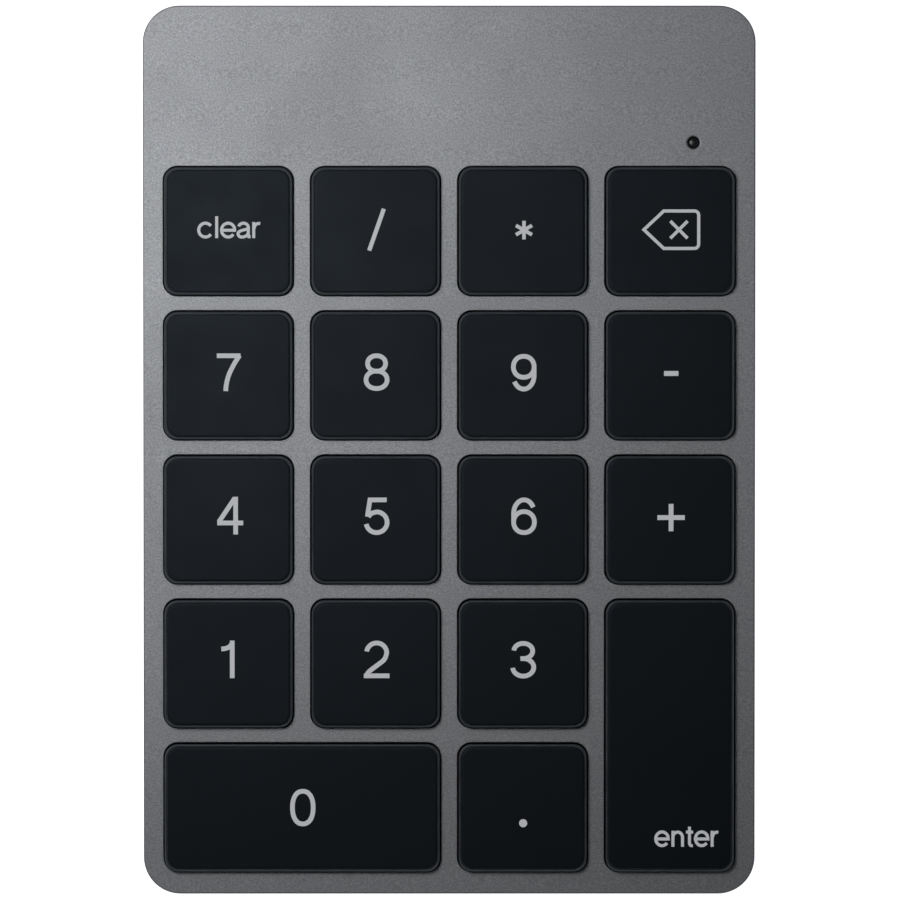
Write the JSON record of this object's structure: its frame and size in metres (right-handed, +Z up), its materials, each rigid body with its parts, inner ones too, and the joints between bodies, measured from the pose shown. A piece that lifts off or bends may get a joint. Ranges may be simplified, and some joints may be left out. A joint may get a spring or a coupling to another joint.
{
  "type": "numeric keypad",
  "caption": "Slim wedge-shaped wireless numeric keypad: an aluminium case with low keys that travel, on four rubber feet.",
  "frame": {"origin": "centre of the footprint, on the plane that the feet rest on", "axes": "+X to the right, +Y from the front edge to the thicker rear edge, +Z up"},
  "size_m": [0.0794, 0.115, 0.0105],
  "materials": {
    "case_aluminium": "bead-blasted, dark grey anodised, satin",
    "cover_plastic": "fine moulded texture, matt dark grey",
    "keycap_plastic": "fine-textured semi-matt black",
    "legend_print": "light grey keycap legends",
    "scissor_acetal": "moulded, slightly waxy",
    "spring_wire": "drawn steel wire",
    "plate_steel": "stamped, zinc coated",
    "membrane_film": "polyester film with printed silver tracks",
    "dome_silicone": "moulded silicone, matt",
    "foot_rubber": "matt rubber",
    "screw_steel": "black zinc plated",
    "board_laminate": "green solder mask with soldered parts",
    "module_shield": "tinned shield can",
    "port_steel": "drawn stainless shell",
    "switch_plastic": "moulded black",
    "button_plastic": "moulded, matt dark grey",
    "light_pipe_acrylic": "clear moulded acrylic",
    "battery_foil": "laminated foil pouch",
    "lead_insulation": "insulated leads with a white plug"
  },
  "bodies": {
    "case": {"top_case": "case_aluminium", "bottom_cover": "cover_plastic", "support_plate": "plate_steel", "membrane_sheet": "membrane_film", "dome_sheet": "dome_silicone", "main_board": "board_laminate", "bluetooth_module": "module_shield", "usb_c_socket": "port_steel", "power_switch_body": "switch_plastic", "led_light_pipe": "light_pipe_acrylic", "battery_cell": "battery_foil", "battery_lead": "lead_insulation", "foot_front_left": "foot_rubber", "foot_front_right": "foot_rubber", "foot_rear_left": "foot_rubber", "foot_rear_right": "foot_rubber", "screw_front_left": "screw_steel", "screw_front_right": "screw_steel", "screw_rear_left": "screw_steel", "screw_rear_right": "screw_steel", "scissor_clear": "scissor_acetal", "scissor_divide": "scissor_acetal", "scissor_multiply": "scissor_acetal", "scissor_backspace": "scissor_acetal", "scissor_7": "scissor_acetal", "scissor_8": "scissor_acetal", "scissor_9": "scissor_acetal", "scissor_minus": "scissor_acetal", "scissor_4": "scissor_acetal", "scissor_5": "scissor_acetal", "scissor_6": "scissor_acetal", "scissor_plus": "scissor_acetal", "scissor_1": "scissor_acetal", "scissor_2": "scissor_acetal", "scissor_3": "scissor_acetal", "scissor_enter": "scissor_acetal", "scissor_0": "scissor_acetal", "scissor_decimal": "scissor_acetal"},
    "key_clear": {"keycap_clear": "keycap_plastic"},
    "key_divide": {"keycap_divide": "keycap_plastic"},
    "key_multiply": {"keycap_multiply": "keycap_plastic"},
    "key_backspace": {"keycap_backspace": "keycap_plastic"},
    "key_7": {"keycap_7": "keycap_plastic"},
    "key_8": {"keycap_8": "keycap_plastic"},
    "key_9": {"keycap_9": "keycap_plastic"},
    "key_minus": {"keycap_minus": "keycap_plastic"},
    "key_4": {"keycap_4": "keycap_plastic"},
    "key_5": {"keycap_5": "keycap_plastic"},
    "key_6": {"keycap_6": "keycap_plastic"},
    "key_plus": {"keycap_plus": "keycap_plastic"},
    "key_1": {"keycap_1": "keycap_plastic"},
    "key_2": {"keycap_2": "keycap_plastic"},
    "key_3": {"keycap_3": "keycap_plastic"},
    "key_enter": {"keycap_enter": "keycap_plastic"},
    "key_0": {"keycap_0": "keycap_plastic"},
    "key_decimal": {"keycap_decimal": "keycap_plastic"},
    "stabilizer_0": {"stabilizer_wire_0": "spring_wire"},
    "stabilizer_enter": {"stabilizer_wire_enter": "spring_wire"},
    "power_slider": {"power_switch_slider": "switch_plastic"},
    "pairing_button": {"pairing_button": "button_plastic"}
  },
  "joints": [
    {"name": "press_clear", "type": "slide", "parent": "case", "child": "key_clear", "axis": [0, -0.0349, 0.9994], "range_m": [-0.0016, 0], "stiffness_N_per_m": 300, "springref_m": 0.0005, "deforming": ["scissor_clear", "dome_sheet"]},
    {"name": "press_divide", "type": "slide", "parent": "case", "child": "key_divide", "axis": [0, -0.0349, 0.9994], "range_m": [-0.0016, 0], "stiffness_N_per_m": 300, "springref_m": 0.0005, "deforming": ["scissor_divide", "dome_sheet"]},
    {"name": "press_multiply", "type": "slide", "parent": "case", "child": "key_multiply", "axis": [0, -0.0349, 0.9994], "range_m": [-0.0016, 0], "stiffness_N_per_m": 300, "springref_m": 0.0005, "deforming": ["scissor_multiply", "dome_sheet"]},
    {"name": "press_backspace", "type": "slide", "parent": "case", "child": "key_backspace", "axis": [0, -0.0349, 0.9994], "range_m": [-0.0016, 0], "stiffness_N_per_m": 300, "springref_m": 0.0005, "deforming": ["scissor_backspace", "dome_sheet"]},
    {"name": "press_7", "type": "slide", "parent": "case", "child": "key_7", "axis": [0, -0.0349, 0.9994], "range_m": [-0.0016, 0], "stiffness_N_per_m": 300, "springref_m": 0.0005, "deforming": ["scissor_7", "dome_sheet"]},
    {"name": "press_8", "type": "slide", "parent": "case", "child": "key_8", "axis": [0, -0.0349, 0.9994], "range_m": [-0.0016, 0], "stiffness_N_per_m": 300, "springref_m": 0.0005, "deforming": ["scissor_8", "dome_sheet"]},
    {"name": "press_9", "type": "slide", "parent": "case", "child": "key_9", "axis": [0, -0.0349, 0.9994], "range_m": [-0.0016, 0], "stiffness_N_per_m": 300, "springref_m": 0.0005, "deforming": ["scissor_9", "dome_sheet"]},
    {"name": "press_minus", "type": "slide", "parent": "case", "child": "key_minus", "axis": [0, -0.0349, 0.9994], "range_m": [-0.0016, 0], "stiffness_N_per_m": 300, "springref_m": 0.0005, "deforming": ["scissor_minus", "dome_sheet"]},
    {"name": "press_4", "type": "slide", "parent": "case", "child": "key_4", "axis": [0, -0.0349, 0.9994], "range_m": [-0.0016, 0], "stiffness_N_per_m": 300, "springref_m": 0.0005, "deforming": ["scissor_4", "dome_sheet"]},
    {"name": "press_5", "type": "slide", "parent": "case", "child": "key_5", "axis": [0, -0.0349, 0.9994], "range_m": [-0.0016, 0], "stiffness_N_per_m": 300, "springref_m": 0.0005, "deforming": ["scissor_5", "dome_sheet"]},
    {"name": "press_6", "type": "slide", "parent": "case", "child": "key_6", "axis": [0, -0.0349, 0.9994], "range_m": [-0.0016, 0], "stiffness_N_per_m": 300, "springref_m": 0.0005, "deforming": ["scissor_6", "dome_sheet"]},
    {"name": "press_plus", "type": "slide", "parent": "case", "child": "key_plus", "axis": [0, -0.0349, 0.9994], "range_m": [-0.0016, 0], "stiffness_N_per_m": 300, "springref_m": 0.0005, "deforming": ["scissor_plus", "dome_sheet"]},
    {"name": "press_1", "type": "slide", "parent": "case", "child": "key_1", "axis": [0, -0.0349, 0.9994], "range_m": [-0.0016, 0], "stiffness_N_per_m": 300, "springref_m": 0.0005, "deforming": ["scissor_1", "dome_sheet"]},
    {"name": "press_2", "type": "slide", "parent": "case", "child": "key_2", "axis": [0, -0.0349, 0.9994], "range_m": [-0.0016, 0], "stiffness_N_per_m": 300, "springref_m": 0.0005, "deforming": ["scissor_2", "dome_sheet"]},
    {"name": "press_3", "type": "slide", "parent": "case", "child": "key_3", "axis": [0, -0.0349, 0.9994], "range_m": [-0.0016, 0], "stiffness_N_per_m": 300, "springref_m": 0.0005, "deforming": ["scissor_3", "dome_sheet"]},
    {"name": "press_enter", "type": "slide", "parent": "case", "child": "key_enter", "axis": [0, -0.0349, 0.9994], "range_m": [-0.0016, 0], "stiffness_N_per_m": 300, "springref_m": 0.0005, "deforming": ["scissor_enter", "dome_sheet"]},
    {"name": "press_0", "type": "slide", "parent": "case", "child": "key_0", "axis": [0, -0.0349, 0.9994], "range_m": [-0.0016, 0], "stiffness_N_per_m": 300, "springref_m": 0.0005, "deforming": ["scissor_0", "dome_sheet"]},
    {"name": "press_decimal", "type": "slide", "parent": "case", "child": "key_decimal", "axis": [0, -0.0349, 0.9994], "range_m": [-0.0016, 0], "stiffness_N_per_m": 300, "springref_m": 0.0005, "deforming": ["scissor_decimal", "dome_sheet"]},
    {"name": "stabilizer_turn_0", "type": "hinge", "parent": "case", "child": "stabilizer_0", "pos_m": [-0.01905, -0.03948, 0.00428], "axis": [1, 0, 0], "range_deg": [0, 19.3]},
    {"name": "stabilizer_turn_enter", "type": "hinge", "parent": "case", "child": "stabilizer_enter", "pos_m": [0.02183, -0.03689, 0.00437], "axis": [0, 0.9994, 0.0349], "range_deg": [0, 19.3]},
    {"name": "power_slide", "type": "slide", "parent": "case", "child": "power_slider", "axis": [1, 0, 0], "range_m": [0, 0.002]},
    {"name": "pairing_press", "type": "slide", "parent": "case", "child": "pairing_button", "axis": [0, 0, 1], "range_m": [0, 0.0003], "stiffness_N_per_m": 2000, "springref_m": -0.0002}
  ],
  "couplings": [
    {"joint": "stabilizer_turn_0", "follows": "press_0", "rad_per_m": -209.44},
    {"joint": "stabilizer_turn_enter", "follows": "press_enter", "rad_per_m": -209.44}
  ]
}
